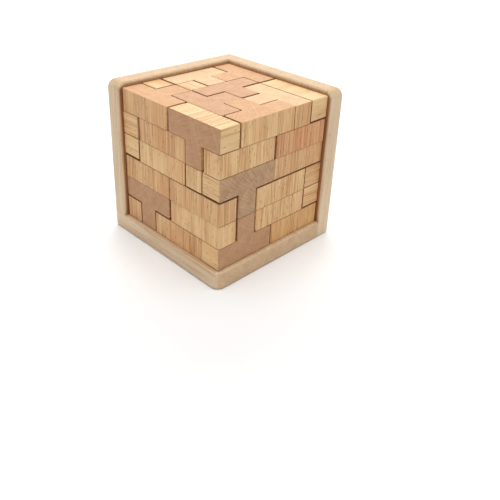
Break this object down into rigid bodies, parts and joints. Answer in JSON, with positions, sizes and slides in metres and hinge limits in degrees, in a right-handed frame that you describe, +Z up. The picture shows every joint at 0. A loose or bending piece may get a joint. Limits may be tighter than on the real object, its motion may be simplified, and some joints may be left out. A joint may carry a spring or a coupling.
{
  "type": "wooden cube packing puzzle",
  "caption": "Cube packing puzzle: interlocking T-shaped wooden blocks stacked in an open tray of three glued panels with rounded rims",
  "frame": {"origin": "centre of the tray's square footprint, on the surface that it stands on", "axes": "+Z up; -Y is the open front, +X the open right side, +Z the open top; the walls stand at -X and +Y"},
  "size_m": [0.105, 0.105, 0.1048],
  "materials": {
    "tray_wood": "sanded, waxed satin",
    "block_wood_mid": "sawn and sanded, unvarnished",
    "block_wood_pale": "sawn and sanded, unvarnished",
    "block_wood_honey": "sawn and sanded, unvarnished",
    "block_wood_brown": "sawn and sanded, unvarnished",
    "block_wood_red": "sawn and sanded, unvarnished"
  },
  "bodies": {
    "tray": {"base_panel": "tray_wood", "left_wall": "tray_wood", "back_wall": "tray_wood"},
    "t_block_01": {"t_block_01": "block_wood_mid"},
    "t_block_02": {"t_block_02": "block_wood_brown"},
    "t_block_03": {"t_block_03": "block_wood_pale"},
    "t_block_04": {"t_block_04": "block_wood_pale"},
    "t_block_05": {"t_block_05": "block_wood_mid"},
    "t_block_06": {"t_block_06": "block_wood_honey"},
    "t_block_07": {"t_block_07": "block_wood_mid"},
    "t_block_08": {"t_block_08": "block_wood_mid"},
    "t_block_09": {"t_block_09": "block_wood_brown"},
    "t_block_10": {"t_block_10": "block_wood_honey"},
    "t_block_11": {"t_block_11": "block_wood_brown"},
    "t_block_12": {"t_block_12": "block_wood_brown"},
    "t_block_13": {"t_block_13": "block_wood_pale"},
    "t_block_14": {"t_block_14": "block_wood_honey"},
    "t_block_15": {"t_block_15": "block_wood_honey"},
    "t_block_16": {"t_block_16": "block_wood_brown"},
    "t_block_17": {"t_block_17": "block_wood_red"},
    "t_block_18": {"t_block_18": "block_wood_mid"},
    "t_block_19": {"t_block_19": "block_wood_mid"},
    "t_block_20": {"t_block_20": "block_wood_mid"},
    "t_block_21": {"t_block_21": "block_wood_honey"},
    "t_block_22": {"t_block_22": "block_wood_red"},
    "t_block_23": {"t_block_23": "block_wood_mid"},
    "t_block_24": {"t_block_24": "block_wood_brown"},
    "t_block_25": {"t_block_25": "block_wood_pale"},
    "t_block_26": {"t_block_26": "block_wood_pale"},
    "t_block_27": {"t_block_27": "block_wood_red"},
    "t_block_28": {"t_block_28": "block_wood_brown"},
    "t_block_29": {"t_block_29": "block_wood_mid"},
    "t_block_30": {"t_block_30": "block_wood_pale"},
    "t_block_31": {"t_block_31": "block_wood_pale"},
    "t_block_32": {"t_block_32": "block_wood_honey"},
    "t_block_33": {"t_block_33": "block_wood_brown"},
    "t_block_34": {"t_block_34": "block_wood_red"},
    "t_block_35": {"t_block_35": "block_wood_mid"},
    "t_block_36": {"t_block_36": "block_wood_pale"},
    "t_block_37": {"t_block_37": "block_wood_honey"},
    "t_block_38": {"t_block_38": "block_wood_brown"},
    "t_block_39": {"t_block_39": "block_wood_pale"},
    "t_block_40": {"t_block_40": "block_wood_mid"},
    "t_block_41": {"t_block_41": "block_wood_pale"},
    "t_block_42": {"t_block_42": "block_wood_honey"},
    "t_block_43": {"t_block_43": "block_wood_brown"},
    "t_block_44": {"t_block_44": "block_wood_red"},
    "t_block_45": {"t_block_45": "block_wood_mid"},
    "t_block_46": {"t_block_46": "block_wood_pale"},
    "t_block_47": {"t_block_47": "block_wood_honey"},
    "t_block_48": {"t_block_48": "block_wood_brown"},
    "t_block_49": {"t_block_49": "block_wood_red"},
    "t_block_50": {"t_block_50": "block_wood_mid"},
    "t_block_51": {"t_block_51": "block_wood_pale"},
    "t_block_52": {"t_block_52": "block_wood_honey"},
    "t_block_53": {"t_block_53": "block_wood_brown"},
    "t_block_54": {"t_block_54": "block_wood_red"}
  },
  "joints": [
    {"name": "t_block_01_slide", "type": "slide", "parent": "t_block_03", "child": "t_block_01", "axis": [0, 0, 1], "range_m": [0, 0.0238]},
    {"name": "t_block_02_slide", "type": "slide", "parent": "tray", "child": "t_block_02", "axis": [0, -1, 0], "range_m": [0, 0.0238]},
    {"name": "t_block_03_slide", "type": "slide", "parent": "t_block_39", "child": "t_block_03", "axis": [0, -1, 0], "range_m": [0, 0.0538]},
    {"name": "t_block_04_slide", "type": "slide", "parent": "t_block_54", "child": "t_block_04", "axis": [0, -1, 0], "range_m": [0, 0.0538]},
    {"name": "t_block_05_slide", "type": "slide", "parent": "t_block_39", "child": "t_block_05", "axis": [0, -1, 0], "range_m": [0, 0.0388]},
    {"name": "t_block_06_slide", "type": "slide", "parent": "t_block_46", "child": "t_block_06", "axis": [1, 0, 0], "range_m": [0, 0.0388]},
    {"name": "t_block_07_slide", "type": "slide", "parent": "t_block_08", "child": "t_block_07", "axis": [0, -1, 0], "range_m": [0, 0.0388]},
    {"name": "t_block_08_slide", "type": "slide", "parent": "t_block_53", "child": "t_block_08", "axis": [0, -1, 0], "range_m": [0, 0.0538]},
    {"name": "t_block_09_slide", "type": "slide", "parent": "tray", "child": "t_block_09", "axis": [1, 0, 0], "range_m": [0, 0.0238]},
    {"name": "t_block_10_slide", "type": "slide", "parent": "t_block_04", "child": "t_block_10", "axis": [0, -1, 0], "range_m": [0, 0.0388]},
    {"name": "t_block_11_slide", "type": "slide", "parent": "t_block_51", "child": "t_block_11", "axis": [0, -1, 0], "range_m": [0, 0.0388]},
    {"name": "t_block_12_slide", "type": "slide", "parent": "t_block_14", "child": "t_block_12", "axis": [0, -1, 0], "range_m": [0, 0.0238]},
    {"name": "t_block_13_slide", "type": "slide", "parent": "t_block_45", "child": "t_block_13", "axis": [0, -1, 0], "range_m": [0, 0.0388]},
    {"name": "t_block_14_slide", "type": "slide", "parent": "t_block_31", "child": "t_block_14", "axis": [0, -1, 0], "range_m": [0, 0.0538]},
    {"name": "t_block_15_slide", "type": "slide", "parent": "t_block_40", "child": "t_block_15", "axis": [0, -1, 0], "range_m": [0, 0.0388]},
    {"name": "t_block_16_slide", "type": "slide", "parent": "t_block_52", "child": "t_block_16", "axis": [1, 0, 0], "range_m": [0, 0.0238]},
    {"name": "t_block_17_slide", "type": "slide", "parent": "t_block_48", "child": "t_block_17", "axis": [1, 0, 0], "range_m": [0, 0.0388]},
    {"name": "t_block_18_slide", "type": "slide", "parent": "t_block_22", "child": "t_block_18", "axis": [1, 0, 0], "range_m": [0, 0.0388]},
    {"name": "t_block_19_slide", "type": "slide", "parent": "t_block_50", "child": "t_block_19", "axis": [1, 0, 0], "range_m": [0, 0.0388]},
    {"name": "t_block_20_slide", "type": "slide", "parent": "t_block_49", "child": "t_block_20", "axis": [1, 0, 0], "range_m": [0, 0.0388]},
    {"name": "t_block_21_slide", "type": "slide", "parent": "t_block_23", "child": "t_block_21", "axis": [1, 0, 0], "range_m": [0, 0.0388]},
    {"name": "t_block_22_slide", "type": "slide", "parent": "t_block_50", "child": "t_block_22", "axis": [1, 0, 0], "range_m": [0, 0.0538]},
    {"name": "t_block_23_slide", "type": "slide", "parent": "t_block_49", "child": "t_block_23", "axis": [1, 0, 0], "range_m": [0, 0.0538]},
    {"name": "t_block_24_slide", "type": "slide", "parent": "t_block_36", "child": "t_block_24", "axis": [0, 0, 1], "range_m": [0, 0.0238]},
    {"name": "t_block_25_slide", "type": "slide", "parent": "t_block_44", "child": "t_block_25", "axis": [0, 0, 1], "range_m": [0, 0.0388]},
    {"name": "t_block_26_slide", "type": "slide", "parent": "tray", "child": "t_block_26", "axis": [0, 0, 1], "range_m": [0, 0.0238]},
    {"name": "t_block_27_slide", "type": "slide", "parent": "tray", "child": "t_block_27", "axis": [0, 0, 1], "range_m": [0, 0.0238]},
    {"name": "t_block_28_slide", "type": "slide", "parent": "tray", "child": "t_block_28", "axis": [0, 0, 1], "range_m": [0, 0.0238]},
    {"name": "t_block_29_slide", "type": "slide", "parent": "tray", "child": "t_block_29", "axis": [1, 0, 0], "range_m": [0, 0.0388]},
    {"name": "t_block_30_slide", "type": "slide", "parent": "t_block_36", "child": "t_block_30", "axis": [0, 0, 1], "range_m": [0, 0.0238]},
    {"name": "t_block_31_slide", "type": "slide", "parent": "t_block_32", "child": "t_block_31", "axis": [0, -1, 0], "range_m": [0, 0.0538]},
    {"name": "t_block_32_slide", "type": "slide", "parent": "t_block_40", "child": "t_block_32", "axis": [0, -1, 0], "range_m": [0, 0.0838]},
    {"name": "t_block_33_slide", "type": "slide", "parent": "tray", "child": "t_block_33", "axis": [0, -1, 0], "range_m": [0, 0.0838]},
    {"name": "t_block_34_slide", "type": "slide", "parent": "tray", "child": "t_block_34", "axis": [0, -1, 0], "range_m": [0, 0.0988]},
    {"name": "t_block_35_slide", "type": "slide", "parent": "tray", "child": "t_block_35", "axis": [0, 0, 1], "range_m": [0, 0.0538]},
    {"name": "t_block_36_slide", "type": "slide", "parent": "t_block_35", "child": "t_block_36", "axis": [0, 0, 1], "range_m": [0, 0.0388]},
    {"name": "t_block_37_slide", "type": "slide", "parent": "t_block_42", "child": "t_block_37", "axis": [1, 0, 0], "range_m": [0, 0.0988]},
    {"name": "t_block_38_slide", "type": "slide", "parent": "t_block_43", "child": "t_block_38", "axis": [1, 0, 0], "range_m": [0, 0.0988]},
    {"name": "t_block_39_slide", "type": "slide", "parent": "tray", "child": "t_block_39", "axis": [0, -1, 0], "range_m": [0, 0.0688]},
    {"name": "t_block_40_slide", "type": "slide", "parent": "t_block_45", "child": "t_block_40", "axis": [0, -1, 0], "range_m": [0, 0.0538]},
    {"name": "t_block_41_slide", "type": "slide", "parent": "t_block_34", "child": "t_block_41", "axis": [0, -1, 0], "range_m": [0, 0.0688]},
    {"name": "t_block_42_slide", "type": "slide", "parent": "t_block_52", "child": "t_block_42", "axis": [1, 0, 0], "range_m": [0, 0.0838]},
    {"name": "t_block_43_slide", "type": "slide", "parent": "tray", "child": "t_block_43", "axis": [1, 0, 0], "range_m": [0, 0.0838]},
    {"name": "t_block_44_slide", "type": "slide", "parent": "tray", "child": "t_block_44", "axis": [1, 0, 0], "range_m": [0, 0.0838]},
    {"name": "t_block_45_slide", "type": "slide", "parent": "t_block_41", "child": "t_block_45", "axis": [0, -1, 0], "range_m": [0, 0.0688]},
    {"name": "t_block_46_slide", "type": "slide", "parent": "tray", "child": "t_block_46", "axis": [1, 0, 0], "range_m": [0, 0.0688]},
    {"name": "t_block_47_slide", "type": "slide", "parent": "tray", "child": "t_block_47", "axis": [0, -1, 0], "range_m": [0, 0.0688]},
    {"name": "t_block_48_slide", "type": "slide", "parent": "t_block_44", "child": "t_block_48", "axis": [1, 0, 0], "range_m": [0, 0.0688]},
    {"name": "t_block_49_slide", "type": "slide", "parent": "t_block_37", "child": "t_block_49", "axis": [1, 0, 0], "range_m": [0, 0.0688]},
    {"name": "t_block_50_slide", "type": "slide", "parent": "t_block_38", "child": "t_block_50", "axis": [1, 0, 0], "range_m": [0, 0.0688]},
    {"name": "t_block_51_slide", "type": "slide", "parent": "tray", "child": "t_block_51", "axis": [0, -1, 0], "range_m": [0, 0.0688]},
    {"name": "t_block_52_slide", "type": "slide", "parent": "tray", "child": "t_block_52", "axis": [1, 0, 0], "range_m": [0, 0.0388]},
    {"name": "t_block_53_slide", "type": "slide", "parent": "t_block_47", "child": "t_block_53", "axis": [0, -1, 0], "range_m": [0, 0.0688]},
    {"name": "t_block_54_slide", "type": "slide", "parent": "t_block_33", "child": "t_block_54", "axis": [0, -1, 0], "range_m": [0, 0.0688]}
  ]
}
